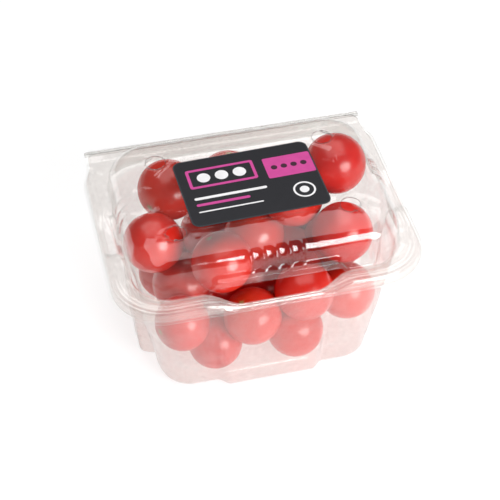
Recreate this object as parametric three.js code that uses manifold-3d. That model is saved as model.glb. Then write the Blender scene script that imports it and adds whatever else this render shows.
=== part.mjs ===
// A hinged clear plastic punnet (clamshell) of cherry tomatoes: a lobed tray, a domed lid on a
// living hinge along the back edge, a sticker in the lid's sunk panel, and the heap of tomatoes.
// Millimetres, +Z up, front at -Y, hinge at +Y. The origin is the middle of the footprint.

import * as THREE from 'three';
import { mergeVertices } from 'three/addons/utils/BufferGeometryUtils.js';
import Module from 'manifold-3d';

const wasm = await Module();
wasm.setup();

// ---------------------------------------------------------------- driving dimensions

const LENGTH = 146;              // over the lid's skirt, left to right
const DEPTH = 117;               // front of the skirt to the hinge edge
const HEIGHT = 89;               // floor to the top of the lid
const WALL = 0.6;                // plastic thickness, with room for the two gaps it needs
const GAP = 0.4;                 // between the tray's rim and the lid that sits on it

const CAVITY_Y = -2.5;           // middle of the tray's cavity: the hinge flap is behind it
const CAVITY_LENGTH = 123.6;     // outside of the tray's wall under the rim
const CAVITY_DEPTH = 91.4;
const CORNER = 24;               // plan radius of the skirt's front corners
const HINGE_CORNER = 2.5;        // the hinge flap has nearly square corners
const HINGE_FLAP = 5;            // extra flange width along the hinge
const HINGE_NECK = 3.4;          // the flap is this much narrower at each end than the skirt

const RIM_Z = 69.2;              // top of the tray's rim
const SKIRT_Z = 65.2;            // bottom edge of the lid's skirt
const LEDGE_Z = RIM_Z + GAP + WALL;   // top of the lid's flat flange
const DOME_WIDTH = 125.2;        // lid dome at its foot
const DOME_DEPTH = 89.4;

const BAY_LONG = 26;             // half width, at the rim, of the bay in the long walls
const BAY_SHORT = 11;            // half width of the bay in the short walls
const BAY_EDGE = 3.5;            // width of a bay's slanted edge

const HOOD_FRONT = 27;           // half width of the raised hood over the front vent slot
const HOOD_END = 8;              // the same at the left and right ends
const HOOD_RAMP = 6.5;           // a hood's slanted ends
const HOOD_LIFT = 6.8;           // how far the lid's flange is raised in the front hood
const HOOD_SHIFT = 1.2;          // the front hood and ribs sit this far right of the middle
const RIM_SINK = 4;              // how far the rim and the lid's rail are lowered under a hood
const END_SHARE = 0.55;          // the end hoods are this much of the front one
const SLOT_LIP = 0.8;            // plastic left hanging from a hood's edge above its slot

const RIB_PITCH = 5.95;          // upright ribs on the dome's shoulder, in the middle of a side
const RIB_HALF = 1.1;
const RIB_HEIGHT = 0.8;
const FRONT_RIBS = 5;
const SIDE_RIBS = 3;

const PANEL_HALF = 42;           // sunk label panel in the dome's top
const PANEL_FRONT = -26.5;
const PANEL_BACK = 22;
const PANEL_CHAMFER = 9.5;
const PANEL_SINK = 0.8;

const VENT_RADIUS = 4.8;         // four round vents beside the panel's cut corners
const VENT_X = 40;
const VENT_FRONT_Y = -26.8;
const VENT_BACK_Y = 21.8;

const LABEL_LENGTH = 64.6;
const LABEL_DEPTH = 44.6;
const LABEL_CORNER = 4;
const LABEL_THICKNESS = 0.25;
const LABEL_CENTRE = [-0.2, -2.2];
const LABEL_TURN = 1.8;          // degrees: the sticker is a little askew

const BUTTON_RADIUS = 4;         // small moulded button low on the front bay
const BUTTON_X = -3.3;
const BUTTON_Z = 10.9;
const BUTTON_HEIGHT = 1;

// Each tomato: middle x, y, z and radius. From the top layer down to the floor of the tray.
const TOMATOES = [
  [46.3, 18.9, 73.2, 14.6],
  [21.3, 2.7, 72.1, 14.7],
  [-4.2, 26.6, 66.8, 14.8],
  [-33.9, 26.4, 66.5, 14.8],
  [40.7, -16.2, 61.5, 14.3],
  [-18.2, -20.8, 59.9, 14.4],
  [-46.3, 0.8, 58.2, 14],
  [2.9, 4.3, 49.5, 14.5],
  [23.5, 25, 42.9, 14.8],
  [18.6, -31, 42.4, 13.9],
  [42.2, 2.1, 38.9, 14.8],
  [-14.6, 25.1, 35.6, 14.8],
  [-39.8, -30.5, 34.5, 13.2],
  [-6.6, -32.3, 33.1, 13.5],
  [-33.9, -3.1, 32.4, 14.8],
  [41.2, -25.2, 31.3, 13.6],
  [-37.5, 22, 17.4, 14.7],
  [8.6, 25.2, 17.4, 14.8],
  [37.2, 21.2, 17.5, 14.7],
  [-8.9, 1.5, 17.4, 14.8],
  [20.5, -2, 17.4, 14.8],
  [15, -29.9, 16.1, 13.6],
  [-23.9, -28.9, 15.4, 12.9],
];

// The middle of the heap, where the tomatoes touch, is filled so that the heap is one solid:
// blocks, each with its low and high corner.
const HEAP_CORE = [
  [[-28, -26, 8], [40, 30, 44]],
  [[-36, -22, 36], [42, 27, 60]],
  [[30, 8, 58], [44, 24, 66]],
];

// ---------------------------------------------------------------- outlines and lofts

const FRONT_Y = -DEPTH / 2;
const BACK_Y = DEPTH / 2;

const smooth = (a, b, v) => THREE.MathUtils.smoothstep(v, a, b);
const lerp = THREE.MathUtils.lerp;

// 1 within half of the middle, falling to 0 over the width of the edge.
const bay = (v, half, edge) => 1 - smooth(half, half + edge, Math.abs(v));

// Draws marks in where a side's straight stretch is too short for them.
function within(marks, straight) {
  const reach = Math.max(...marks.map(Math.abs));
  const share = Math.min(1, (straight * 0.97) / reach);
  return marks.map((m) => m * share);
}

// A plan is a rounded or chamfered rectangle: half length, front and back y, corner sizes and
// height. Its ring of points runs anticlockwise from the front left corner, and every plan of
// one shell has the same number of points, so that rings can be joined one to the next.
function ring(plan, marks) {
  const { half, front, back, frontCorner, backCorner, z } = plan;
  const points = [];
  const put = (x, y, nx, ny) => points.push(settle(plan, x, y, z, nx, ny));
  const side = (marksHere, place) => marksHere.forEach(place);
  const corner = (cx, cy, r, start) => {
    for (let i = 0; i <= marks.cornerSteps; i++) {
      const turn = start + (i / marks.cornerSteps) * Math.PI / 2;
      const share = i / marks.cornerSteps;
      const arc = [Math.cos(turn), Math.sin(turn)];
      const from = [Math.cos(start), Math.sin(start)];
      const to = [-Math.sin(start), Math.cos(start)];
      const cut = [lerp(from[0], to[0], share), lerp(from[1], to[1], share)];
      const [ux, uy] = plan.chamfered ? cut : arc;
      put(cx + r * ux, cy + r * uy, 0, 0);
    }
  };
  const straightX = half - Math.max(frontCorner, backCorner);
  const straightY = Math.min(CAVITY_Y - front - frontCorner, back - backCorner - CAVITY_Y);
  const sideMarks = within(marks.side, straightY).map((m) => CAVITY_Y + m);
  const lastMark = sideMarks[sideMarks.length - 1];
  const tail = marks.tail.map((share) => lerp(lastMark, back - backCorner, share));

  const narrow = (list) => within(list, straightX).map((m) => m * (plan.bayShare ?? 1));

  side(narrow(marks.front), (x) => put(x, front, 0, -1));
  corner(half - frontCorner, front + frontCorner, frontCorner, -Math.PI / 2);
  side([...sideMarks, ...tail], (y) => put(half, y, 1, 0));
  corner(half - backCorner, back - backCorner, backCorner, 0);
  side(narrow(marks.back), (x) => put(-x, back, 0, 1));
  corner(-half + backCorner, back - backCorner, backCorner, Math.PI / 2);
  side([...sideMarks, ...tail].reverse(), (y) => put(-half, y, -1, 0));
  corner(-half + frontCorner, front + frontCorner, frontCorner, Math.PI);
  return points;
}

// Moves one outline point for the bays, hoods, ribs and hinge flap that its plan has.
function settle(plan, x, y, z, nx, ny) {
  const p = new THREE.Vector3(x, y, z);
  const alongY = y - CAVITY_Y;
  const onEnd = Math.abs(nx);
  if (plan.bayX) {
    p.x += nx * plan.bayX * bay(alongY, BAY_SHORT, BAY_EDGE);
    p.y += ny * plan.bayY * bay(x / plan.bayShare, BAY_LONG, BAY_EDGE);
  }
  const frontHood = ny < 0 ? bay(x - HOOD_SHIFT, HOOD_FRONT, HOOD_RAMP) : 0;
  const endHood = onEnd * END_SHARE * bay(alongY, HOOD_END, HOOD_RAMP);
  const hood = Math.max(frontHood, endHood);
  p.z += (plan.hoodLift ?? 0) * hood;
  p.x += nx * (plan.hoodOut ?? 0) * hood;
  p.y += ny * (plan.hoodOut ?? 0) * hood;
  if (plan.rib) {
    const out = Math.max(-ny, 0) * ribs(x - HOOD_SHIFT, FRONT_RIBS) + onEnd * ribs(alongY, SIDE_RIBS);
    p.x += nx * out * plan.rib[0];
    p.y += ny * out * plan.rib[0];
    p.z += out * plan.rib[1];
  }
  if (plan.flapZ !== undefined) {
    const rear = smooth(38, 48, y);
    p.z = lerp(p.z, plan.flapZ, rear);
    p.x *= 1 - (HINGE_NECK / (LENGTH / 2)) * rear;
  }
  return p;
}

// Height of a row of upright ribs, centred on 0, where each is a small triangular ridge.
function ribs(v, count) {
  let out = 0;
  for (let i = 0; i < count; i++) {
    const middle = (i - (count - 1) / 2) * RIB_PITCH;
    out = Math.max(out, RIB_HEIGHT * (1 - Math.abs(v - middle) / RIB_HALF));
  }
  return out;
}

// The x or y marks of a row of ribs: foot, crest and foot of each.
function ribMarks(count) {
  const marks = [];
  for (let i = 0; i < count; i++) {
    const middle = (i - (count - 1) / 2) * RIB_PITCH;
    marks.push(middle - RIB_HALF, middle, middle + RIB_HALF);
  }
  return marks;
}

// Joins rings of equal length into one closed surface, with a point in the middle of each end.
function loft(rings, startZ, endZ) {
  const count = rings[0].length;
  const positions = [];
  const index = [];
  rings.forEach((r) => r.forEach((p) => positions.push(p.x, p.y, p.z)));
  const start = positions.length / 3;
  positions.push(0, CAVITY_Y, startZ, 0, CAVITY_Y, endZ);
  const last = (rings.length - 1) * count;
  for (let k = 0; k < count; k++) {
    const next = (k + 1) % count;
    index.push(start, next, k);
    index.push(start + 1, last + k, last + next);
    for (let r = 0; r + 1 < rings.length; r++) {
      const a = r * count;
      const b = a + count;
      index.push(a + k, a + next, b + next, a + k, b + next, b + k);
    }
  }
  const geometry = new THREE.BufferGeometry();
  geometry.setAttribute('position', new THREE.Float32BufferAttribute(positions, 3));
  geometry.setIndex(index);
  return mergeVertices(geometry, 1e-4);
}

// ---------------------------------------------------------------- joining and cutting

function toSolid(geometry) {
  const plain = geometry.clone();
  plain.deleteAttribute('normal');
  plain.deleteAttribute('uv');
  const merged = mergeVertices(plain, 1e-4);
  return new wasm.Manifold(new wasm.Mesh({
    numProp: 3,
    vertProperties: Float32Array.from(merged.attributes.position.array),
    triVerts: Uint32Array.from(merged.index.array),
  }));
}

function toGeometry(solid) {
  const mesh = solid.getMesh();
  const geometry = new THREE.BufferGeometry();
  geometry.setAttribute('position', new THREE.BufferAttribute(mesh.vertProperties.slice(), 3));
  geometry.setIndex(new THREE.BufferAttribute(mesh.triVerts.slice(), 1));
  geometry.computeVertexNormals();
  return geometry;
}

// ---------------------------------------------------------------- tray

const trayMarks = {
  front: [-32, -29.5, -26, -13, 0, 13, 26, 29.5, 32],
  back: [-29.5, -26, 0, 26, 29.5],
  side: [-14.5, -11, -8, 0, 8, 11, 14.5],
  tail: [0.4, 0.75, 0.95],
  cornerSteps: 5,
};

// A plan of the tray's wall. inX and inY bring the corners in from the wall under the rim, and
// the bays give back much of what the corners lose, so that they stay nearly upright. The long
// walls' bays narrow towards the foot.
function wallPlan(inX, inY, corner, z, thickness, giveX = 0.7, giveY = 0.6) {
  return {
    half: CAVITY_LENGTH / 2 - inX - thickness,
    front: CAVITY_Y - CAVITY_DEPTH / 2 + inY + thickness,
    back: CAVITY_Y + CAVITY_DEPTH / 2 - inY - thickness,
    frontCorner: corner,
    backCorner: corner,
    bayX: inX * giveX,
    bayY: inY * giveY,
    bayShare: lerp(0.72, 1, smooth(-20, RIM_Z, z)),
    z,
  };
}

// A plan of a flange, in from the outer edge of the skirt.
function flangePlan(inset, z, flapZ, extra = {}) {
  const flap = HINGE_FLAP * Math.min(inset / 6, 1);
  return {
    half: LENGTH / 2 - inset,
    front: FRONT_Y + inset,
    back: BACK_Y - Math.max(inset - 1.4, 0) - flap,
    frontCorner: CORNER - 0.6 * inset,
    backCorner: HINGE_CORNER + inset,
    z,
    flapZ,
    ...extra,
  };
}

function makeTray() {
  const under = RIM_Z - WALL;
  const outside = [
    wallPlan(20.5, 17.5, 8, 1.6, 0, 0.3, 0.3),
    wallPlan(19.5, 16.5, 9, 0, 0, 0.3, 0.3),
    wallPlan(12.2, 8.6, 13.5, 0, 0, 0.55, 0.45),
    wallPlan(10.7, 7.2, 15, 1.4, 0, 0.65, 0.57),
    wallPlan(10.1, 6.8, 15.5, 5, 0),
    wallPlan(6.8, 4.6, 17, 24, 0),
    wallPlan(3.1, 2.1, 18.5, 46, 0),
    wallPlan(0.01, 0.01, 20, 64, 0),
  ];
  const rim = [
    flangePlan(10.4, under, under, { hoodLift: -RIM_SINK, backCorner: 18 }),
    flangePlan(3.4, under, under, { hoodLift: -RIM_SINK }),
    flangePlan(2.0, SKIRT_Z + 0.4, under, { hoodLift: -0.6 }),
    flangePlan(1.4, SKIRT_Z + 0.4, RIM_Z, { hoodLift: -0.6 }),
    flangePlan(2.8, RIM_Z, RIM_Z, { hoodLift: -RIM_SINK }),
    flangePlan(10.9, RIM_Z, RIM_Z, { hoodLift: -RIM_SINK, backCorner: 18 }),
  ];
  const inside = [
    wallPlan(0.01, 0.01, 20, 63.8, WALL),
    wallPlan(3.1, 2.1, 18.5, 46, WALL),
    wallPlan(6.8, 4.6, 17, 24, WALL),
    wallPlan(10.1, 6.8, 15.5, 5.2, WALL),
    wallPlan(10.7, 7.2, 15, 1.8, WALL, 0.65, 0.57),
    wallPlan(12.2, 8.6, 13.5, WALL, 0.2, 0.55, 0.45),
    wallPlan(19.5, 16.5, 9, WALL, 0, 0.3, 0.3),
    wallPlan(20.5, 17.5, 8, 1.6 + WALL, 0, 0.3, 0.3),
  ];
  const rings = [...outside, ...rim, ...inside].map((plan) => ring(plan, trayMarks));
  const shell = toSolid(loft(rings, 1.6, 1.6 + WALL));
  const button = new THREE.CylinderGeometry(BUTTON_RADIUS, BUTTON_RADIUS - 1, BUTTON_HEIGHT, 12);
  const bayFace = CAVITY_Y - CAVITY_DEPTH / 2 + 2.4;
  button.translate(BUTTON_X, bayFace - BUTTON_HEIGHT / 2 + 0.4, BUTTON_Z);
  return toGeometry(shell.add(toSolid(button)));
}

// ---------------------------------------------------------------- lid

const frontRibMarks = ribMarks(FRONT_RIBS).map((mark) => mark + HOOD_SHIFT);
const sideRibMarks = ribMarks(SIDE_RIBS);
const lidMarks = {
  front: [-32.3, -29, -25.8, ...frontRibMarks, 28.2, 31.4, 34.7],
  back: [-34, -17, 0, 17, 34],
  side: [-14.5, -11.2, -8, ...sideRibMarks, 8, 11.2, 14.5],
  tail: [0.3, 0.62, 0.8, 0.97],
  cornerSteps: 5,
};

// A plan of the lid's dome, in from its foot. Under the roof a shell point is also lower.
function domePlan(inset, corner, z, rib, thickness, drop) {
  return {
    half: DOME_WIDTH / 2 - inset - thickness,
    front: CAVITY_Y - DOME_DEPTH / 2 + inset + thickness,
    back: CAVITY_Y + DOME_DEPTH / 2 - inset - thickness,
    frontCorner: corner,
    backCorner: corner,
    z: z - drop,
    rib,
  };
}

function panelPlan(inset, z) {
  return {
    half: PANEL_HALF - inset,
    front: PANEL_FRONT + inset,
    back: PANEL_BACK - inset,
    frontCorner: PANEL_CHAMFER,
    backCorner: PANEL_CHAMFER,
    chamfered: true,
    z,
  };
}

function makeLid() {
  const ledgeUnder = LEDGE_Z - WALL;
  const rimTop = LEDGE_Z + 0.8;
  const foot = (LENGTH - DOME_WIDTH) / 2;
  const raised = { hoodLift: HOOD_LIFT };
  const lip = { hoodLift: HOOD_LIFT, hoodOut: 2.6 };
  const sunk = { hoodLift: -RIM_SINK };
  const rail = { hoodLift: -RIM_SINK, hoodOut: 3.2 };
  const outside = [
    flangePlan(0, SKIRT_Z, LEDGE_Z),
    flangePlan(1.6, rimTop, LEDGE_Z, sunk),
    flangePlan(6.6, rimTop - 0.1, LEDGE_Z, rail),
    flangePlan(7.6, LEDGE_Z, LEDGE_Z, lip),
    flangePlan(foot, LEDGE_Z, LEDGE_Z, { ...raised, backCorner: 17 }),
    domePlan(0.7, 16.5, HEIGHT - 9.5, undefined, 0, 0),
    domePlan(1.6, 16, HEIGHT - 5.5, [0.9, 0.2], 0, 0),
    domePlan(3.4, 15.5, HEIGHT - 2.4, [0.7, 0.6], 0, 0),
    domePlan(6.2, 14, HEIGHT - 0.8, [0.2, 0.9], 0, 0),
    domePlan(9.5, 12, HEIGHT - 0.2, undefined, 0, 0),
    panelPlan(0, HEIGHT),
    panelPlan(1, HEIGHT - PANEL_SINK),
  ];
  const inside = [
    panelPlan(0.6, HEIGHT - PANEL_SINK - WALL),
    panelPlan(-0.4, HEIGHT - WALL),
    domePlan(9.5, 12, HEIGHT - 0.2, undefined, 0.1, WALL),
    domePlan(6.2, 14, HEIGHT - 0.8, [0.2, 0.9], 0.25, WALL),
    domePlan(3.4, 15.5, HEIGHT - 2.4, [0.7, 0.6], 0.45, 0.45),
    domePlan(1.6, 16, HEIGHT - 5.5, [0.9, 0.2], 0.6, 0.15),
    domePlan(0.7, 16.5, HEIGHT - 9.7, undefined, WALL, 0),
    flangePlan(foot + WALL, ledgeUnder, ledgeUnder, { ...raised, backCorner: 16.5 }),
    flangePlan(7.9, ledgeUnder, ledgeUnder, lip),
    flangePlan(6.2, rimTop - 0.1 - WALL, ledgeUnder, { ...sunk, hoodOut: 2.2 }),
    flangePlan(2.2, rimTop - WALL, ledgeUnder, sunk),
    flangePlan(0.62, SKIRT_Z, ledgeUnder),
  ];
  const rings = [...inside, ...outside].map((plan) => ring(plan, lidMarks));
  const roof = HEIGHT - PANEL_SINK;
  let shell = toSolid(loft(rings, roof - WALL, roof));
  for (const x of [-VENT_X, VENT_X]) {
    for (const y of [VENT_FRONT_Y, VENT_BACK_Y]) {
      const punch = new THREE.CylinderGeometry(VENT_RADIUS, VENT_RADIUS, 10, 16);
      punch.rotateX(Math.PI / 2);
      punch.translate(x, y, HEIGHT);
      shell = shell.subtract(toSolid(punch));
    }
  }
  const slotLow = rimTop + 0.3 - RIM_SINK;
  const frontTop = LEDGE_Z + HOOD_LIFT - SLOT_LIP;
  const frontSlot = new THREE.BoxGeometry(2 * HOOD_FRONT, 6, frontTop - slotLow);
  frontSlot.translate(HOOD_SHIFT, FRONT_Y + 3.6, (frontTop + slotLow) / 2);
  shell = shell.subtract(toSolid(frontSlot));
  const endLow = rimTop + 0.3 - RIM_SINK * END_SHARE;
  const endTop = LEDGE_Z + HOOD_LIFT * END_SHARE - SLOT_LIP;
  for (const end of [-1, 1]) {
    const endSlot = new THREE.BoxGeometry(6, 2 * HOOD_END, endTop - endLow);
    endSlot.translate(end * (LENGTH / 2 - 4.6), CAVITY_Y, (endTop + endLow) / 2);
    shell = shell.subtract(toSolid(endSlot));
  }
  return toGeometry(shell);
}

// ---------------------------------------------------------------- label

function makeLabel() {
  const shape = new THREE.Shape();
  const x = LABEL_LENGTH / 2;
  const y = LABEL_DEPTH / 2;
  const r = LABEL_CORNER;
  shape.moveTo(-x + r, -y);
  shape.lineTo(x - r, -y);
  shape.absarc(x - r, -y + r, r, -Math.PI / 2, 0);
  shape.absarc(x - r, y - r, r, 0, Math.PI / 2);
  shape.absarc(-x + r, y - r, r, Math.PI / 2, Math.PI);
  shape.absarc(-x + r, -y + r, r, Math.PI, Math.PI * 1.5);
  const geometry = new THREE.ExtrudeGeometry(shape, {
    depth: LABEL_THICKNESS, bevelEnabled: false, curveSegments: 5,
  });
  geometry.deleteAttribute('normal');
  geometry.deleteAttribute('uv');
  return mergeVertices(geometry, 1e-4);
}

// ---------------------------------------------------------------- tomatoes

function makeTomatoes() {
  const parts = TOMATOES.map(([x, y, z, radius]) => {
    const ball = new THREE.SphereGeometry(radius, 10, 7);
    ball.rotateX(Math.PI / 2);
    ball.translate(x, y, z);
    return ball;
  });
  for (const [low, high] of HEAP_CORE) {
    const size = low.map((v, i) => high[i] - v);
    const block = new THREE.BoxGeometry(...size);
    block.translate(...low.map((v, i) => v + size[i] / 2));
    parts.push(block);
  }
  const [first, ...others] = parts.map(toSolid);
  return toGeometry(others.reduce((heap, solid) => heap.add(solid), first));
}

// ---------------------------------------------------------------- the model

function piece(name, geometry, color, roughness, opacity = 1) {
  const material = new THREE.MeshStandardMaterial({
    color, roughness, metalness: 0, opacity, transparent: opacity < 1,
  });
  const mesh = new THREE.Mesh(geometry, material);
  mesh.name = name;
  return mesh;
}

const model = new THREE.Group();
model.add(piece('tray', makeTray(), 0xe9e6e2, 0.15, 0.3));
model.add(piece('lid', makeLid(), 0xf0efed, 0.1, 0.3));
model.add(piece('tomatoes', makeTomatoes(), 0xc8150f, 0.3));

const label = piece('label', makeLabel(), 0x2b2e34, 0.45);
label.position.set(...LABEL_CENTRE, HEIGHT - PANEL_SINK + 0.3);
label.rotation.z = THREE.MathUtils.degToRad(LABEL_TURN);
model.add(label);

export default model;
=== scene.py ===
"""Looks for the hinged clear punnet of cherry tomatoes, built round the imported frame."""

import math

import bmesh
import bpy
import numpy as np
from mathutils import Matrix, Vector


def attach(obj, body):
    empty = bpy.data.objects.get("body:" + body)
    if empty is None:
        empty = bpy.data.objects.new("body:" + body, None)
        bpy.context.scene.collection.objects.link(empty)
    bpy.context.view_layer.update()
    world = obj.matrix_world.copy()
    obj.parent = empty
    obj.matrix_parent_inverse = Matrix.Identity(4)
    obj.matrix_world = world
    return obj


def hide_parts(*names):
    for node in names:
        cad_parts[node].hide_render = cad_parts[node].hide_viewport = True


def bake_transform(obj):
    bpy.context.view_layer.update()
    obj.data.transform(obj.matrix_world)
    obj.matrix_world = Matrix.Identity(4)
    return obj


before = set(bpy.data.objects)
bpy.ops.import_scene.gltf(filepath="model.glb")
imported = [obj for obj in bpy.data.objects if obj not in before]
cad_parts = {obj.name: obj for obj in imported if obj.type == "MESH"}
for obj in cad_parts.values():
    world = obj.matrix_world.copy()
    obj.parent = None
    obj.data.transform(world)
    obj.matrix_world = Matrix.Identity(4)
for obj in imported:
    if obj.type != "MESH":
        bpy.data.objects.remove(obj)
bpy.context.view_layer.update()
MM = 0.001

# ------------------------------------------------------------------ sizes, in mm

# as in the CAD
LENGTH, DEPTH, HEIGHT = 146.0, 117.0, 89.0
CAVITY_Y, CAVITY_LENGTH, CAVITY_DEPTH = -2.5, 123.6, 91.4
RIM_Z, SKIRT_Z, LEDGE_Z = 69.2, 65.2, 70.2
DOME_WIDTH, DOME_DEPTH = 125.2, 89.4
FOOT = (LENGTH - DOME_WIDTH) / 2  # from the flange's edge to the foot of the dome
BAY_LONG, BAY_SHORT, BAY_EDGE = 26.0, 11.0, 3.5
HOOD_FRONT, HOOD_END, HOOD_RAMP, HOOD_SHIFT = 27.0, 8.0, 6.5, 1.2
HOOD_LIFT, RIM_SINK, END_SHARE = 6.8, 4.0, 0.55
RIB_PITCH, FRONT_RIBS, SIDE_RIBS = 5.95, 5, 3
PANEL_SINK = 0.8
VENTS = [(x, y) for x in (-40.0, 40.0) for y in (-26.8, 21.8)]
VENT_RADIUS = 4.8

# of the looks alone
DIP_FRONT, DIP_RAMP = 17.0, 17.0  # the sunk front rim's half width, and its longer, softer ramp
SLOT_FRONT, SLOT_END, SLOT_SHARE = (50.0, 56.6), (64.5, 70.6), 0.12  # where the slots are open
FLAP_RAMP, FLAP_INSET = (38.0, 48.0), 3.4  # where the hinge flap starts; how much shorter it is
RIB_HALF = 1.75
PANEL_HALF, PANEL_FRONT, PANEL_BACK, PANEL_CUT = 42.0, -26.5, 22.0, 9.5
LABEL_PLACE, LABEL_LIFT, LABEL_TURN = (-0.2, -2.2), 0.32, 1.8
STRIP_HALF = 69.3
SHEET, STRIP_SHEET = 0.35, 0.25  # thickness of the real plastic and of the hinge strip
N_FRONT, N_SIDE, N_BACK, N_CORNER = 170, 96, 200, 16  # points along each stretch of an outline

# ------------------------------------------------------------------ light and camera, in metres

KEY_DIRECTION, KEY_FAR, KEY_SIZE, KEY_RADIANCE = (0.421, -0.826, 0.375), 0.9, (0.62, 0.5), 12.0
TOP_DIRECTION, TOP_FAR, TOP_SIZE, TOP_RADIANCE = (0.0, 0.19, 1.0), 1.0, (1.2, 1.2), 2.0
AIM_HEIGHT = 0.04
WORLD_STRENGTH = 0.1
FLOOR_HALF, FLOOR_Z, FLOOR_TONE, FLOOR_GLOW = 3, -0.0002, 0.42, 0.7
CAMERA_PLACE = (-0.1133, -0.4714, 0.5201)
CAMERA_DOWN, CAMERA_TURN, CAMERA_LENS, SENSOR_WIDTH = 44.504, -13.51, 101.97, 36


# ------------------------------------------------------------------ helpers


def smooth(a, b, v):
    t = np.clip((v - a) / (b - a), 0, 1)
    return t * t * (3 - 2 * t)


def bay(v, half, edge):
    """1 inside +-half, falling softly to 0 over edge."""
    return 1 - smooth(half, half + edge, np.abs(v))


def waves(p, scale, seed, count=14):
    """A smooth seeded wave field in about -1..1 at points p, with bumps about scale across."""
    rng = np.random.default_rng(seed)
    total = np.zeros(len(p))
    for _ in range(count):
        k = rng.normal(size=3)
        k *= 2 * math.pi / (scale * rng.uniform(0.8, 1.9)) / np.linalg.norm(k)
        total += np.sin(p @ k + rng.uniform(0, 2 * math.pi))
    return total / math.sqrt(count)


def new_object(name, verts, faces):
    """A linked mesh object from points in metres."""
    mesh = bpy.data.meshes.new(name)
    mesh.from_pydata(verts, [], faces)
    mesh.update()
    obj = bpy.data.objects.new(name, mesh)
    bpy.context.collection.objects.link(obj)
    return obj


# ------------------------------------------------------------------ outlines

def outline(half, front, back, front_corner, back_corner, chamfered=False):
    """x, y and outward normal (0 on the corners) round a rounded or chamfered rectangle."""
    points = []

    def line(a, b, count, normal):
        for t in np.linspace(0, 1, count):
            points.append((a[0] + (b[0] - a[0]) * t, a[1] + (b[1] - a[1]) * t, *normal))

    def corner(cx, cy, r, start):
        for i in range(1, N_CORNER + 1):
            t = i / (N_CORNER + 1)
            if chamfered:
                ux = math.cos(start) * (1 - t) - math.sin(start) * t
                uy = math.sin(start) * (1 - t) + math.cos(start) * t
            else:
                ux, uy = math.cos(start + t * math.pi / 2), math.sin(start + t * math.pi / 2)
            points.append((cx + r * ux, cy + r * uy, 0, 0))

    rf, rb = front_corner, back_corner
    line((-half + rf, front), (half - rf, front), N_FRONT, (0, -1))
    corner(half - rf, front + rf, rf, -math.pi / 2)
    line((half, front + rf), (half, back - rb), N_SIDE, (1, 0))
    corner(half - rb, back - rb, rb, 0)
    line((half - rb, back), (-half + rb, back), N_BACK, (0, 1))
    corner(-half + rb, back - rb, rb, math.pi / 2)
    line((-half, back - rb), (-half, front + rf), N_SIDE, (-1, 0))
    corner(-half + rf, front + rf, rf, math.pi)
    return np.array(points, float)


def rib_row(v, count):
    """Height 0..1 of a row of upright rounded ribs centred on 0."""
    out = np.zeros_like(v)
    for i in range(count):
        d = np.abs(v - (i - (count - 1) / 2) * RIB_PITCH) / RIB_HALF
        out = np.maximum(out, np.cos(np.clip(d, 0, 1) * math.pi / 2) ** 1.5)
    return out


def front_share(x, sunk):
    """How much of the front hood, or of the sunk rim under it, there is at x."""
    half, ramp = (DIP_FRONT, DIP_RAMP) if sunk else (HOOD_FRONT, HOOD_RAMP)
    return bay(x - HOOD_SHIFT, half, ramp)


def ring(plan):
    """The points of one plan, moved for the bays, hoods, ribs and hinge flap that it has."""
    q = outline(plan["half"], plan["front"], plan["back"], plan["fc"], plan["bc"],
                plan.get("cut", False))
    x, y, nx, ny = q.T
    z = np.full(len(x), plan["z"])
    along = y - CAVITY_Y
    end = np.abs(nx)
    bx, by = plan.get("bay", (0, 0))
    x = x + nx * bx * bay(along, BAY_SHORT, BAY_EDGE)
    y = y + ny * by * bay(x / plan.get("share", 1), BAY_LONG, BAY_EDGE + plan.get("soft", 0))
    hood = np.maximum((ny < 0) * front_share(x, plan.get("lift", 0) < 0),
                      end * END_SHARE * bay(along, HOOD_END, HOOD_RAMP))
    z = z + plan.get("lift", 0) * hood
    x = x + nx * plan.get("out", 0) * hood
    y = y + ny * plan.get("out", 0) * hood
    rib = plan.get("rib")
    if rib:
        high = np.maximum(-ny, 0) * rib_row(x - HOOD_SHIFT, FRONT_RIBS) + end * rib_row(along, SIDE_RIBS)
        x, y, z = x + nx * high * rib[0], y + ny * high * rib[0], z + high * rib[1]
    if "flap" in plan:
        rear = smooth(*FLAP_RAMP, y)
        z = z * (1 - rear) + plan["flap"] * rear
        x = x * (1 - FLAP_INSET / (LENGTH / 2) * rear)
    return np.stack([x, y, z], -1)


def blended(rings, rounds, step):
    """Rounds the profile at each ring by its share, and adds rings about every step."""
    out = [rings[0]]
    for i in range(1, len(rings) - 1):
        r = rounds[i]
        if r <= 0:
            out.append(rings[i])
            continue
        a = rings[i] + (rings[i - 1] - rings[i]) * r
        b = rings[i] + (rings[i + 1] - rings[i]) * r
        for t in (0, 0.25, 0.5, 0.75, 1):
            out.append(a * (1 - t) ** 2 + rings[i] * 2 * t * (1 - t) + b * t * t)
    out.append(rings[-1])
    full = [out[0]]
    for a, b in zip(out, out[1:]):
        far = np.linalg.norm(b - a, axis=1).mean()
        if far < 1e-4:
            continue
        n = max(1, int(far / step))
        for k in range(1, n + 1):
            full.append(a + (b - a) * k / n)
    return full


def sheet_mesh(name, rings, skip=None):
    """A quad sheet through the rings, closed inside the last; skip(row, middle) leaves faces out."""
    count = len(rings[0])
    verts = np.concatenate(rings)
    faces = []
    for r in range(len(rings) - 1):
        a, b = r * count, (r + 1) * count
        middle = (rings[r] + np.roll(rings[r], -1, 0)
                  + rings[r + 1] + np.roll(rings[r + 1], -1, 0)) / 4
        keep = np.ones(count, bool) if skip is None else ~skip(r, middle)
        for k in np.nonzero(keep)[0]:
            n = (k + 1) % count
            faces.append((a + k, a + n, b + n, b + k))
    verts = np.concatenate([verts, rings[-1].mean(0)[None]])
    last = (len(rings) - 1) * count
    faces += [(last + k, last + (k + 1) % count, len(verts) - 1) for k in range(count)]
    return new_object(name, (verts * MM).tolist(), faces)


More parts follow.
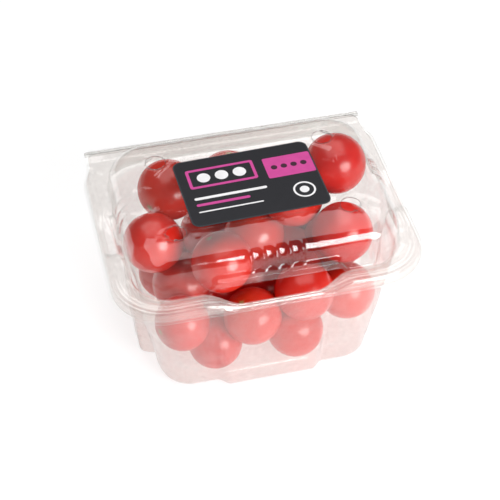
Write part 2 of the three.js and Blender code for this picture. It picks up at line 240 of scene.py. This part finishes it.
def tidy(obj, thickness, offset):
    """Gives the sheet its thickness, drops loose points and shades it smooth."""
    bpy.context.view_layer.objects.active = obj
    solid = obj.modifiers.new("thickness", "SOLIDIFY")
    solid.thickness = thickness * MM
    solid.offset = offset
    solid.use_even_offset = False
    solid.use_rim = True
    with bpy.context.temp_override(object=obj, active_object=obj):
        bpy.ops.object.modifier_apply(modifier=solid.name)
    bm = bmesh.new()
    bm.from_mesh(obj.data)
    bmesh.ops.delete(bm, geom=[v for v in bm.verts if not v.link_faces], context="VERTS")
    bm.to_mesh(obj.data)
    bm.free()
    obj.data.shade_smooth()
    return obj


def punch(rings, holes, radius):
    """Moves the points of the roof next to each hole onto its circle and returns the skip test."""
    roof = HEIGHT - 3
    for cx, cy in holes:
        for r in rings:
            d = r[:, :2] - (cx, cy)
            far = np.linalg.norm(d, axis=1)
            near = (np.abs(far - radius) < 0.75) & (r[:, 2] > roof)
            r[near, :2] = (cx, cy) + d[near] / far[near, None] * radius

    def inside(_, middle):
        hit = np.zeros(len(middle), bool)
        for cx, cy in holes:
            far = np.linalg.norm(middle[:, :2] - (cx, cy), axis=1)
            hit |= (far < radius - 0.05) & (middle[:, 2] > roof)
        return hit

    return inside


# ------------------------------------------------------------------ lid

def flange(inset, z, flap, bc=None, **extra):
    """A plan of the flange: inset from its outer edge, and level with flap along the back."""
    return dict(half=LENGTH / 2 - inset, front=-DEPTH / 2 + inset,
                back=DEPTH / 2 - max(inset - 1.4, 0) - 5 * min(inset / 6, 1),
                fc=24 - 0.6 * inset, bc=2.5 + inset if bc is None else bc, z=z, flap=flap, **extra)


def dome(inset, corner, z, rib=None, lift=0):
    """A plan of the lid's dome; rib is how far the ribs stand out and up."""
    return dict(half=DOME_WIDTH / 2 - inset, front=CAVITY_Y - DOME_DEPTH / 2 + inset,
                back=CAVITY_Y + DOME_DEPTH / 2 - inset, fc=corner, bc=corner, z=z, rib=rib, lift=lift)


def panel(inset, z):
    """A plan of the sunk panel with cut corners."""
    return dict(half=PANEL_HALF - inset, front=PANEL_FRONT + inset, back=PANEL_BACK - inset,
                fc=PANEL_CUT, bc=PANEL_CUT, z=z, cut=True)


def rail(inset, z):
    """The flange's outer rail: in front of each slot it is pressed down and outward."""
    return flange(inset, z, LEDGE_Z, lift=-RIM_SINK, out=2.6 * max(inset - 1.6, 0) / 5)


def make_lid():
    """The lid, from its skirt over the flange and the dome to the panel. Each plan of the profile
    has the share by which it is rounded."""
    top = LEDGE_Z + 0.8
    lip = HOOD_LIFT - 3.0  # how far the slot's upper edge is lifted
    profile = [
        (flange(0.1, SKIRT_Z, LEDGE_Z), 0),
        (flange(0.35, SKIRT_Z + 1.3, LEDGE_Z), 0.4),
        (flange(1.25, top - 0.9, LEDGE_Z, lift=-RIM_SINK), 0.4),
        (rail(2.0, top + 0.05), 0.45),
        (rail(2.9, top), 0.45),
        (rail(3.7, top - 0.65), 0.45),
        (rail(4.7, top - 0.65), 0.45),
        (rail(5.5, top), 0.45),
        (rail(6.4, top), 0.4),
        (rail(6.8, top - 0.3), 0),
        (flange(8.2, LEDGE_Z + 0.1, LEDGE_Z, lift=lip, out=0.5), 0),
        (flange(8.5, LEDGE_Z, LEDGE_Z, lift=lip + 0.5, out=0.5), 0.3),
        (flange(9.3, LEDGE_Z, LEDGE_Z, lift=HOOD_LIFT, out=0.7), 0.3),
        (flange(FOOT, LEDGE_Z, LEDGE_Z, bc=17, lift=HOOD_LIFT), 0.2),
        (dome(0.45, 16.8, HEIGHT - 14, (0.9, 0), lift=3.2), 0.3),
        (dome(0.7, 16.5, HEIGHT - 10.4, (1.3, 0.1)), 0.4),
        (dome(1.5, 16.3, HEIGHT - 7, (1.3, 0.45)), 0.45),
        (dome(3.0, 15.8, HEIGHT - 4, (0.85, 0.7)), 0.45),
        (dome(5.2, 14.8, HEIGHT - 1.8, (0.15, 0.25)), 0.45),
        (dome(7.6, 13.2, HEIGHT - 0.85), 0.45),
        (dome(10.2, 12, HEIGHT - 0.45), 0.3),
        (panel(-0.3, HEIGHT), 0.35),
        (panel(0.7, HEIGHT - PANEL_SINK), 0.35),
        (panel(2.2, HEIGHT - PANEL_SINK), 0),
        (panel(16, HEIGHT - PANEL_SINK), 0),
    ]
    rings = blended([ring(p) for p, _ in profile], [r for _, r in profile], 1.7)
    inside = punch(rings, VENTS, VENT_RADIUS)

    def skip(r, middle):
        hit = inside(r, middle)
        x, y, z = middle.T
        end = END_SHARE * bay(y - CAVITY_Y, HOOD_END, HOOD_RAMP)
        for dip, ramp, away, (near, far) in (
                (front_share(x, True), front_share(x, False), -y, SLOT_FRONT),
                (end, end, np.abs(x), SLOT_END)):
            low, high = top - 0.25 - RIM_SINK * dip, LEDGE_Z + lip * ramp
            hit |= (away > near) & (away < far) & (ramp > SLOT_SHARE) & (z > low) & (z < high)
        return hit

    for r in rings:
        # the sheet is nowhere quite flat above the flange
        wobble = 0.16 * waves(r, 15, 3) + 0.05 * waves(r, 4.5, 4)
        on_roof = smooth(66, 72, r[:, 2])
        r[:, 2] += wobble * on_roof * 0.6
        r[:, 1] += 0.5 * wobble * on_roof
        # the back edge is stippled along the fold, and its left end is crumpled
        back = smooth(49.5, 51, r[:, 1]) * (1 - smooth(55.5, 57, r[:, 1]))
        r[:, 2] += 0.32 * back * np.abs(np.sin(r[:, 0] * math.pi / 2.7))
        crumple = smooth(56, 70, -r[:, 0]) * smooth(36, 54, r[:, 1])
        r[:, 2] += 1.0 * crumple * waves(r, 7, 9)
        # the dome is a little dented at its front corners
        dent = (smooth(42, 54, np.abs(r[:, 0])) * smooth(12, 30, -r[:, 1])
                * smooth(72, 77, r[:, 2]))
        push = 0.3 * dent * waves(r, 7, 31) * np.where(r[:, 0] < 0, 1.0, 0.6)
        r[:, 1] -= push
        r[:, 2] += 0.6 * push
    return tidy(sheet_mesh("lid_shell", rings, skip), SHEET, -1)


def make_vent_rims():
    """The punched edge of each round vent, as a thin ring."""
    verts, faces, around, across = [], [], 64, 8
    middle, half_width, level, half_height = VENT_RADIUS - 0.1, 0.15, HEIGHT - 0.4, 0.18
    for cx, cy in VENTS:
        base = len(verts)
        for i in range(around):
            a = 2 * math.pi * i / around
            for k in range(across):
                b = 2 * math.pi * k / across
                far = middle + half_width * math.cos(b)
                verts.append((cx + far * math.cos(a), cy + far * math.sin(a),
                              level + half_height * math.sin(b)))
        for i in range(around):
            here, there = base + i * across, base + (i + 1) % around * across
            for k in range(across):
                m = (k + 1) % across
                faces.append((here + k, there + k, there + m, here + m))
    obj = new_object("vent_rims", (np.array(verts) * MM).tolist(), faces)
    obj.data.shade_smooth()
    return obj


# ------------------------------------------------------------------ tray

def wall(in_x, in_y, corner, z, give_x=0.7, give_y=0.6):
    """A plan of the tray's wall. Its bays taper less: each gives a share of the inset back."""
    gap = 0.1
    return dict(half=CAVITY_LENGTH / 2 - in_x - gap,
                front=CAVITY_Y - CAVITY_DEPTH / 2 + in_y + gap,
                back=CAVITY_Y + CAVITY_DEPTH / 2 - in_y - gap, fc=corner, bc=corner, z=z,
                bay=(in_x * give_x, in_y * give_y), soft=4.5 * float(1 - smooth(0, 40, z)),
                share=0.72 + 0.28 * float(smooth(-20, RIM_Z, z)))


def make_tray():
    """The tray from its rim down the wall to the foot ring and the raised floor."""
    profile = [
        (flange(1.5, SKIRT_Z + 0.5, RIM_Z, lift=-0.4), 0),
        (flange(2.5, RIM_Z - 0.7, RIM_Z, lift=-RIM_SINK * 0.6), 0.4),
        (flange(3.4, RIM_Z, RIM_Z, lift=-RIM_SINK), 0.45),
        (flange(4.6, RIM_Z - 0.5, RIM_Z, lift=-RIM_SINK), 0.45),
        (flange(6.2, RIM_Z, RIM_Z, lift=-RIM_SINK, out=2.0), 0.45),
        (flange(10.6, RIM_Z, RIM_Z, bc=18, lift=-RIM_SINK * 1.1, out=5.2), 0.35),
        (wall(0.3, 0.3, 20, 66.4) | dict(lift=-RIM_SINK * 0.8, out=4.2), 0.4),
        (wall(0.1, 0.1, 20, 63.5) | dict(lift=-RIM_SINK * 0.5, out=3.0), 0.4),
        (wall(0.9, 0.6, 19.7, 58), 0.4),
        (wall(3.1, 2.1, 18.5, 46), 0.3),
        (wall(6.8, 4.6, 17, 24), 0.3),
        (wall(10.0, 6.7, 15.5, 6), 0.3),
        (wall(10.8, 7.3, 14.8, 1.8, 0.65, 0.57), 0.45),
        (wall(12.4, 8.8, 13.2, 0.02, 0.55, 0.45), 0.4),
        (wall(19.3, 16.3, 9, 0.02, 0.3, 0.3), 0.4),
        (wall(20.6, 17.6, 8, 1.6, 0.3, 0.3), 0.4),
        (wall(25, 21, 7, 1.6, 0, 0), 0),
        (wall(37, 30, 5, 1.6, 0, 0), 0),
    ]
    rings = blended([ring(p) for p, _ in profile], [r for _, r in profile], 2.2)
    button_x, button_z, button_height = -3.3, 10.9, 0.7
    for r in rings:
        on_wall = smooth(0.5, 6, r[:, 2]) * (1 - smooth(58, 66, r[:, 2]))
        push = on_wall * (0.3 * waves(r, 17, 21) + 0.1 * waves(r, 6, 22))
        away = r[:, :2] - (0, CAVITY_Y)
        away /= np.maximum(np.linalg.norm(away, axis=1), 1)[:, None]
        r[:, :2] += away * push[:, None]
        # the moulded button, low on the front bay
        spot = np.hypot(r[:, 0] - button_x, r[:, 2] - button_z)
        r[:, 1] -= button_height * (1 - smooth(2.9, 3.9, spot)) * (r[:, 1] < -40)
    return tidy(sheet_mesh("tray_shell", rings), SHEET, 1)


# ------------------------------------------------------------------ tomatoes

# Middle and radius, close to the CAD's, then the way the stem end points.
TOMATOES = [
    ((46.6, 19, 73.2), 14.9, (0.3, 0.8, 0.5)),
    ((21.3, 2.7, 72.1), 14.7, (-0.2, 0.7, 0.6)),
    ((-4.2, 26.6, 66.8), 14.8, (0.1, 0.3, 0.9)),
    ((-33.9, 26.4, 66.5), 15.0, (-0.75, -0.62, -0.1)),
    ((40.7, -16.2, 61.5), 14.4, (0.5, 0.7, -0.4)),
    ((-18.2, -20.8, 59.9), 14.5, (-0.35, 0.35, 0.85)),
    ((-46.3, 0.8, 58.2), 14.3, (0.5, 0.6, -0.5)),
    ((2.9, 4.3, 49.5), 14.6, (-0.5, 0.1, 0.85)),
    ((23.5, 25, 42.9), 14.8, (0.9, 0.1, 0.3)),
    ((18.6, -31.1, 42.4), 14.2, (0.2, 0.9, 0.2)),
    ((42.2, 2.1, 38.9), 14.8, (0.2, 0.9, -0.2)),
    ((-14.6, 25.1, 35.6), 14.8, (0.1, -0.3, 0.9)),
    ((-39.8, -30.5, 34.5), 13.4, (-0.85, -0.35, 0.1)),
    ((-6.6, -32.4, 33.0), 13.9, (-0.45, -0.1, 0.88)),
    ((-33.9, -3.1, 32.4), 14.8, (0.1, 0.5, -0.7)),
    ((41.2, -25.2, 31.3), 13.8, (0.1, 0.6, -0.7)),
    ((-37.5, 22, 17.4), 14.7, (-0.7, 0.5, 0.3)),
    ((8.6, 25.2, 17.4), 14.8, (0.1, 0.9, 0.2)),
    ((37.2, 21.2, 17.5), 14.7, (0.7, 0.6, 0.1)),
    ((-8.9, 1.5, 17.4), 14.8, (0.1, 0.5, -0.8)),
    ((20.5, -2, 17.4), 14.8, (0.3, 0.4, 0.8)),
    ((15, -30, 16.2), 13.7, (0.1, 0.7, -0.6)),
    ((-23.9, -28.9, 15.4), 13.0, (-0.3, 0.8, -0.4)),
]


def make_tomatoes():
    """Every tomato is a slightly uneven ball with a shallow stem dimple and a small scar."""
    rows, columns = 44, 64
    polar = np.linspace(0.02, 1, rows) * (math.pi - 0.02)
    all_verts, all_faces, tint = [], [], []
    base = 0
    for number, (middle, radius, axis) in enumerate(TOMATOES):
        rng = np.random.default_rng(100 + number)
        theta, phi = np.meshgrid(polar, np.arange(columns) * 2 * math.pi / columns, indexing="ij")
        theta = np.concatenate([[0.0], theta.ravel(), [math.pi]])
        phi = np.concatenate([[0.0], phi.ravel(), [0.0]])
        unit = np.stack([np.sin(theta) * np.cos(phi), np.sin(theta) * np.sin(phi),
                         np.cos(theta)], -1)
        squash = rng.uniform(0.95, 1.0)
        size = 1 - 0.012 * (1 + waves(unit, 2.2, 200 + number, 6)) * 0.6
        shape = unit * (radius * size)[:, None]
        shape[:, 2] *= squash
        dimple = np.exp(-((theta / 0.24) ** 2))
        shape[:, 2] -= radius * 0.055 * dimple
        tip = np.exp(-(((math.pi - theta) / 0.09) ** 2))
        shape[:, 2] -= radius * 0.012 * tip
        star = 0.10 + 0.035 * np.cos(5 * phi + rng.uniform(0, 6))
        scar = 1 - smooth(star * 0.75, star * 1.15, theta)
        shape[:, 2] += radius * 0.02 * scar
        shoulder = np.exp(-((theta / 0.55) ** 2))
        turn = Vector(axis).normalized().to_track_quat("Z", "Y").to_matrix()
        spin = Matrix.Rotation(rng.uniform(0, 6.28), 3, "Z")
        all_verts.append(shape @ np.array(turn @ spin).T + np.array(middle))
        hue = rng.uniform(0, 1)
        tint.append(np.stack([scar, np.full(len(theta), hue), shoulder, np.ones(len(theta))], -1))
        n = columns
        for k in range(n):
            all_faces.append((base, base + 1 + k, base + 1 + (k + 1) % n))
        for r in range(rows - 1):
            a, b = base + 1 + r * n, base + 1 + (r + 1) * n
            for k in range(n):
                all_faces.append((a + k, b + k, b + (k + 1) % n, a + (k + 1) % n))
        a, pole = base + 1 + (rows - 1) * n, base + len(theta) - 1
        for k in range(n):
            all_faces.append((a + k, pole, a + (k + 1) % n))
        base += len(theta)
    obj = new_object("tomatoes_whole", (np.concatenate(all_verts) * MM).tolist(), all_faces)
    # red is the scar, green a shade for each tomato, blue the stem end's shoulder
    colour = obj.data.attributes.new("tint", "FLOAT_COLOR", "POINT")
    colour.data.foreach_set("color", np.concatenate(tint).astype(np.float32).ravel())
    obj.data.shade_smooth()
    return obj


def make_core():
    """The hidden middle of the heap, behind the gaps between the tomatoes."""
    middle, half = np.array((3.0, 1.0, 27.0)), np.array((34.0, 21.0, 21.0))
    rows, columns, squareness = 40, 64, 2.6
    verts, faces = [(*middle[:2], middle[2] + half[2])], []
    for row in range(1, rows):
        t = math.pi * row / rows
        for column in range(columns):
            p = 2 * math.pi * column / columns
            d = np.array((math.sin(t) * math.cos(p), math.sin(t) * math.sin(p), math.cos(t)))
            d /= (np.abs(d) ** squareness).sum() ** (1 / squareness)
            verts.append(tuple(middle + half * d))
    verts.append((*middle[:2], middle[2] - half[2]))
    for k in range(columns):
        n = (k + 1) % columns
        faces.append((0, 1 + k, 1 + n))
        for row in range(rows - 2):
            a, b = 1 + row * columns, 1 + (row + 1) * columns
            faces.append((a + k, b + k, b + n, a + n))
        last = 1 + (rows - 2) * columns
        faces.append((last + k, len(verts) - 1, last + n))
    obj = new_object("heap_core", [(x * MM, y * MM, z * MM) for x, y, z in verts], faces)
    obj.data.shade_smooth()
    return obj


# ------------------------------------------------------------------ sticker

def rounded(x0, y0, x1, y1, r, steps=6):
    """The loop of a rectangle with round corners."""
    points = []
    for cx, cy, start in ((x1 - r, y0 + r, -90), (x1 - r, y1 - r, 0),
                          (x0 + r, y1 - r, 90), (x0 + r, y0 + r, 180)):
        for i in range(steps + 1):
            a = math.radians(start + 90 * i / steps)
            points.append((cx + r * math.cos(a), cy + r * math.sin(a)))
    return points


def circle(cx, cy, r, count=48):
    """The loop of a circle."""
    turns = [2 * math.pi * i / count for i in range(count)]
    return [(cx + r * math.cos(a), cy + r * math.sin(a)) for a in turns]


def make_label(materials):
    """The sticker and its plain printed shapes: each shape is a thin raised field of colour."""
    charcoal, magenta, grey, white, dark = range(5)
    verts, faces, slots = [], [], []

    def plate(loop, low, high, slot, hole=None):
        """A flat plate with the given outline, and a hole with as many points if there is one."""
        if hole is None:
            base = len(verts)
            verts.extend((x, y, low) for x, y in loop)
            verts.extend((x, y, high) for x, y in loop)
            n = len(loop)
            faces.append(tuple(range(base + n, base + 2 * n)))
            faces.append(tuple(reversed(range(base, base + n))))
            for k in range(n):
                m = (k + 1) % n
                faces.append((base + k, base + m, base + n + m, base + n + k))
            slots.extend([slot] * (n + 2))
            return
        n = len(loop)
        base = len(verts)
        for level in (low, high):
            verts.extend((x, y, level) for x, y in loop)
            verts.extend((x, y, level) for x, y in hole)
        for k in range(n):
            m = (k + 1) % n
            out_low, in_low, out_high, in_high = base, base + n, base + 2 * n, base + 3 * n
            faces.append((out_high + k, out_high + m, in_high + m, in_high + k))
            faces.append((out_low + m, out_low + k, in_low + k, in_low + m))
            faces.append((out_low + k, out_low + m, out_high + m, out_high + k))
            faces.append((in_low + m, in_low + k, in_high + k, in_high + m))
        slots.extend([slot] * (4 * n))

    film, ink_top = 0.22, 0.245
    plate(rounded(-32.3, -22.3, 32.3, 22.3, 4, 10), 0, film, charcoal)
    plate(rounded(-32.25, -22.25, 32.25, 22.25, 3.95, 10), film, ink_top, grey,
          rounded(-31.7, -21.7, 31.7, 21.7, 3.4, 10))
    plate(rounded(9, 0.5, 31.6, 14.5, 0.8), film, ink_top, magenta)
    plate(rounded(-27.5, 2.5, 4.5, 15.5, 1.2), film, ink_top, magenta,
          rounded(-26.1, 3.9, 3.1, 14.1, 0.6))
    for i in range(3):
        plate(circle(-20.0 + 8.5 * i, 9.0, 3.1), film, ink_top, white)
    for i in range(4):
        plate(circle(13.2 + 4.7 * i, 7.5, 1.5), film, ink_top + 0.02, dark)
    plate(rounded(-27.5, -5.2, 6.5, -3.6, 0.8), film, ink_top, white)
    plate(rounded(-27.5, -9.4, -2.5, -7.8, 0.8), film, ink_top, magenta)
    plate(rounded(-27.5, -13.6, 2.5, -12.8, 0.4), film, ink_top, white)
    plate(circle(22.5, -10.5, 5.2), film, ink_top, white, circle(22.5, -10.5, 4.3))
    plate(circle(22.5, -10.5, 2.2), film, ink_top, white)
    obj = new_object("label_print", [(x * MM, y * MM, z * MM) for x, y, z in verts], faces)
    for material in materials:
        obj.data.materials.append(material)
    obj.data.polygons.foreach_set("material_index", slots)
    obj.data.update()
    place = Matrix.Translation((LABEL_PLACE[0] * MM, LABEL_PLACE[1] * MM,
                                (HEIGHT - PANEL_SINK + LABEL_LIFT) * MM))
    obj.data.transform(place @ Matrix.Rotation(math.radians(LABEL_TURN), 4, "Z"))
    return obj


# ------------------------------------------------------------------ hinge strip

def make_hinge():
    """The thin strip that folds behind the two flaps."""
    across = [(56.4, 68.75), (57.6, 68.8), (58.35, 68.95), (58.72, 69.4),
              (58.4, 69.85), (57.6, 70.0), (56.4, 70.05)]
    xs = np.linspace(-STRIP_HALF, STRIP_HALF, 260)
    verts, faces = [], []
    for x in xs:
        for y, z in across:
            lump = 0.12 * math.sin(x * 2.3) * (57.9 < y)  # the fold itself is a little stippled
            verts.append((x * MM, (y + lump) * MM, z * MM))
    n = len(across)
    for i in range(len(xs) - 1):
        for k in range(n - 1):
            a = i * n + k
            faces.append((a, a + n, a + n + 1, a + 1))
    return tidy(new_object("hinge_strip", verts, faces), STRIP_SHEET, 0)


# ------------------------------------------------------------------ materials

def node_material(name):
    """An empty node material with its output."""
    material = bpy.data.materials.new(name)
    material.use_nodes = True
    tree = material.node_tree
    tree.nodes.clear()
    out = tree.nodes.new("ShaderNodeOutputMaterial")
    return material, tree, out


def add(tree, kind, **settings):
    """A shader node with the given settings."""
    node = tree.nodes.new("ShaderNode" + kind)
    for key, value in settings.items():
        setattr(node, key, value)
    return node


def noise_bump(tree, scale, strength, distance, detail=2.0, normal=None):
    """A noise bump over an earlier normal, and the noise itself."""
    where = add(tree, "TexCoord")
    noise = add(tree, "TexNoise")
    noise.inputs["Scale"].default_value = scale
    noise.inputs["Detail"].default_value = detail
    bump = add(tree, "Bump")
    bump.inputs["Strength"].default_value = strength
    bump.inputs["Distance"].default_value = distance
    tree.links.new(where.outputs["Object"], noise.inputs["Vector"])
    tree.links.new(noise.outputs["Fac"], bump.inputs["Height"])
    if normal is not None:
        tree.links.new(normal, bump.inputs["Normal"])
    return bump.outputs["Normal"], noise.outputs["Fac"]


def clear_plastic(name, haze, roughness, reflect=0.045, tone=(0.985, 0.985, 0.98),
                  edge=(0.6, 0.6, 0.59), haze_and_bounce_colour=(0.95, 0.93, 0.92)):
    """Thin clear sheet: see-through, with gloss that grows towards the edges, painted shade that darkens
    the see-through colour towards the edges, and a little haze.
    """
    material, tree, out = node_material(name)
    link = tree.links.new
    normal, _ = noise_bump(tree, 90, 0.35, 0.0005)
    normal, fine = noise_bump(tree, 420, 0.12, 0.0002, 3, normal)
    through = add(tree, "BsdfTransparent")
    gloss = add(tree, "BsdfGlossy")
    gloss.inputs["Roughness"].default_value = roughness
    gloss.inputs["Color"].default_value = (1, 1, 1, 1)
    link(normal, gloss.inputs["Normal"])
    facing = add(tree, "LayerWeight")
    facing.inputs["Blend"].default_value = 0.5
    link(normal, facing.inputs["Normal"])
    power = add(tree, "Math", operation="POWER")
    power.inputs[1].default_value = 5.0
    link(facing.outputs["Facing"], power.inputs[0])
    # painted shade: towards grazing angles the see-through colour goes from tone to the darker edge
    # colour, drawing dark contour lines along the sheet
    edge_shade_weight = add(tree, "Math", operation="POWER")
    edge_shade_weight.inputs[1].default_value = 7.0
    link(facing.outputs["Facing"], edge_shade_weight.inputs[0])
    painted_edge_shade = add(tree, "Mix", data_type="RGBA")
    painted_edge_shade.inputs["A"].default_value = (*tone, 1)
    painted_edge_shade.inputs["B"].default_value = (*edge, 1)
    link(edge_shade_weight.outputs[0], painted_edge_shade.inputs["Factor"])
    link(painted_edge_shade.outputs["Result"], through.inputs["Color"])
    scaled = add(tree, "Math", operation="MULTIPLY_ADD")
    scaled.inputs[1].default_value = 1 - reflect
    scaled.inputs[2].default_value = reflect
    link(power.outputs[0], scaled.inputs[0])
    sheet = add(tree, "MixShader")
    link(scaled.outputs[0], sheet.inputs[0])
    link(through.outputs[0], sheet.inputs[1])
    link(gloss.outputs[0], sheet.inputs[2])
    # the haze is lit by the lamps; a pink haze colour is painted red light bounced from the tomatoes
    milky = add(tree, "BsdfDiffuse")
    milky.inputs["Color"].default_value = (*haze_and_bounce_colour, 1)
    glow = add(tree, "BsdfTranslucent")
    glow.inputs["Color"].default_value = (*haze_and_bounce_colour, 1)
    fog = add(tree, "MixShader")
    fog.inputs[0].default_value = 0.5
    link(milky.outputs[0], fog.inputs[1])
    link(glow.outputs[0], fog.inputs[2])
    amount = add(tree, "MapRange")
    amount.inputs["From Min"].default_value = 0.3
    amount.inputs["From Max"].default_value = 0.7
    amount.inputs["To Min"].default_value = haze * 0.8
    amount.inputs["To Max"].default_value = haze * 1.2
    link(fine, amount.inputs["Value"])
    total = add(tree, "MixShader")
    link(amount.outputs["Result"], total.inputs[0])
    link(sheet.outputs[0], total.inputs[1])
    link(fog.outputs[0], total.inputs[2])
    link(total.outputs[0], out.inputs["Surface"])
    return material


def tomato_skin():
    """Waxy red skin with soft blotches, a warmer stem end and a small scar."""
    material, tree, out = node_material("tomato_skin")
    link = tree.links.new
    skin = add(tree, "BsdfPrincipled")
    tint = add(tree, "Attribute", attribute_name="tint")
    parts = add(tree, "SeparateColor")
    link(tint.outputs["Color"], parts.inputs["Color"])
    where = add(tree, "TexCoord")
    blotch = add(tree, "TexNoise")
    blotch.inputs["Scale"].default_value = 70
    blotch.inputs["Detail"].default_value = 3
    link(where.outputs["Object"], blotch.inputs["Vector"])
    red = add(tree, "ValToRGB")
    red.color_ramp.elements[0].position = 0.3
    red.color_ramp.elements[0].color = (0.54, 0.008, 0.008, 1)
    red.color_ramp.elements[1].position = 0.72
    red.color_ramp.elements[1].color = (0.70, 0.022, 0.014, 1)
    link(blotch.outputs["Fac"], red.inputs["Fac"])
    warm = add(tree, "Mix", data_type="RGBA")
    warm.inputs["B"].default_value = (0.72, 0.05, 0.018, 1)
    half = add(tree, "Math", operation="MULTIPLY")
    half.inputs[1].default_value = 0.45
    link(parts.outputs["Green"], half.inputs[0])
    link(half.outputs[0], warm.inputs["Factor"])
    link(red.outputs["Color"], warm.inputs["A"])
    shoulder = add(tree, "Mix", data_type="RGBA")
    shoulder.inputs["B"].default_value = (0.78, 0.16, 0.02, 1)
    soft = add(tree, "Math", operation="MULTIPLY")
    soft.inputs[1].default_value = 0.14
    link(parts.outputs["Blue"], soft.inputs[0])
    link(soft.outputs[0], shoulder.inputs["Factor"])
    link(warm.outputs["Result"], shoulder.inputs["A"])
    scar = add(tree, "Mix", data_type="RGBA")
    scar.inputs["B"].default_value = (0.33, 0.26, 0.08, 1)
    link(parts.outputs["Red"], scar.inputs["Factor"])
    link(shoulder.outputs["Result"], scar.inputs["A"])
    link(scar.outputs["Result"], skin.inputs["Base Color"])
    pores, _ = noise_bump(tree, 900, 0.12, 0.0003)
    link(pores, skin.inputs["Normal"])
    skin.inputs["Roughness"].default_value = 0.27
    skin.inputs["Subsurface Weight"].default_value = 0.12
    skin.inputs["Subsurface Radius"].default_value = (0.004, 0.0008, 0.0004)
    skin.inputs["Subsurface Scale"].default_value = 1.0
    skin.inputs["Coat Weight"].default_value = 0.25
    skin.inputs["Coat Roughness"].default_value = 0.16
    link(skin.outputs[0], out.inputs["Surface"])
    return material


def ink(name, colour):
    """Satin printed film with a faint grain."""
    material, tree, out = node_material(name)
    link = tree.links.new
    film = add(tree, "BsdfPrincipled")
    normal, grain = noise_bump(tree, 260, 0.1, 0.0002, 4)
    ramp = add(tree, "ValToRGB")
    ramp.color_ramp.elements[0].position = 0.3
    ramp.color_ramp.elements[0].color = (*[c * 0.93 for c in colour], 1)
    ramp.color_ramp.elements[1].position = 0.7
    ramp.color_ramp.elements[1].color = (*[min(1, c * 1.06) for c in colour], 1)
    link(grain, ramp.inputs["Fac"])
    link(ramp.outputs["Color"], film.inputs["Base Color"])
    link(normal, film.inputs["Normal"])
    film.inputs["Roughness"].default_value = 0.42
    film.inputs["Specular IOR Level"].default_value = 0.25
    link(film.outputs[0], out.inputs["Surface"])
    return material


# ------------------------------------------------------------------ assembly

lid = make_lid()
lid.data.materials.append(clear_plastic("lid_clear", 0.006, 0.07, 0.036))
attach(lid, "lid")
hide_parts("lid")

rims = make_vent_rims()
rims.data.materials.append(clear_plastic("rim_clear", 0.02, 0.1, 0.06, (0.8, 0.78, 0.78),
                                         (0.3, 0.28, 0.28)))
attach(rims, "lid")
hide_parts("lid")

tray = make_tray()
# the tray's haze is tinted pink: painted red bounce light from the tomatoes
tray.data.materials.append(clear_plastic("tray_clear", 0.11, 0.12, tone=(0.98, 0.97, 0.963),
                                         haze_and_bounce_colour=(0.98, 0.89, 0.86)))
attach(tray, "tray")
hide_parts("tray")

skin_material = tomato_skin()
for heap in (make_tomatoes(), make_core()):
    heap.data.materials.append(skin_material)
    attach(heap, "tray")
    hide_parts("tomatoes")

label = make_label([
    ink("film_charcoal", (0.015, 0.015, 0.019)),
    ink("film_magenta", (0.60, 0.065, 0.30)),
    ink("film_grey", (0.045, 0.045, 0.052)),
    ink("film_white", (0.85, 0.84, 0.85)),
    ink("film_dark", (0.05, 0.012, 0.03)),
])
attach(label, "lid")
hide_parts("label")

strip = make_hinge()
strip.data.materials.append(clear_plastic("hinge_clear", 0.12, 0.15))
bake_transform(strip)

# ------------------------------------------------------------------ stage, light and camera

scene = bpy.context.scene
scene.view_settings.view_transform = "Standard"
scene.cycles.transparent_max_bounces = 28
scene.cycles.max_bounces = 14

corners = [(x * FLOOR_HALF, y * FLOOR_HALF, FLOOR_Z) for x, y in ((-1, -1), (1, -1), (1, 1), (-1, 1))]
floor = new_object("floor", corners, [(0, 1, 2, 3)])
floor_material, tree, out = node_material("floor_pale")
paint = add(tree, "BsdfPrincipled")
paint.inputs["Base Color"].default_value = (FLOOR_TONE, FLOOR_TONE, FLOOR_TONE, 1)
paint.inputs["Roughness"].default_value = 1.0
paint.inputs["Specular IOR Level"].default_value = 0.0
paint.inputs["Emission Color"].default_value = (1, 1, 1, 1)
paint.inputs["Emission Strength"].default_value = FLOOR_GLOW
tree.links.new(paint.outputs[0], out.inputs["Surface"])
floor.data.materials.append(floor_material)

world = bpy.data.worlds.new("studio")
world.use_nodes = True
world.node_tree.nodes["Background"].inputs["Color"].default_value = (1, 1, 1, 1)
world.node_tree.nodes["Background"].inputs["Strength"].default_value = WORLD_STRENGTH
scene.world = world


def softbox(name, direction, far, size, radiance, shape="RECTANGLE"):
    """An area light aimed at the middle of the part."""
    data = bpy.data.lights.new(name, "AREA")
    data.shape = shape
    data.size, data.size_y = size
    area = size[0] * size[1] * (math.pi / 4 if shape == "ELLIPSE" else 1)
    data.energy = radiance * math.pi * area
    obj = bpy.data.objects.new(name, data)
    away = Vector(direction).normalized()
    obj.location = away * far + Vector((0, 0, AIM_HEIGHT))
    obj.rotation_euler = away.to_track_quat("Z", "Y").to_euler()
    bpy.context.collection.objects.link(obj)


softbox("key", KEY_DIRECTION, KEY_FAR, KEY_SIZE, KEY_RADIANCE, "ELLIPSE")
softbox("top", TOP_DIRECTION, TOP_FAR, TOP_SIZE, TOP_RADIANCE)

camera_data = bpy.data.cameras.new("camera")
camera_data.sensor_width = SENSOR_WIDTH
camera_data.lens = CAMERA_LENS
camera = bpy.data.objects.new("camera", camera_data)
camera.location = CAMERA_PLACE
camera.rotation_euler = (math.radians(90 - CAMERA_DOWN), 0, math.radians(CAMERA_TURN))
bpy.context.collection.objects.link(camera)
scene.camera = camera

bpy.context.view_layer.update()
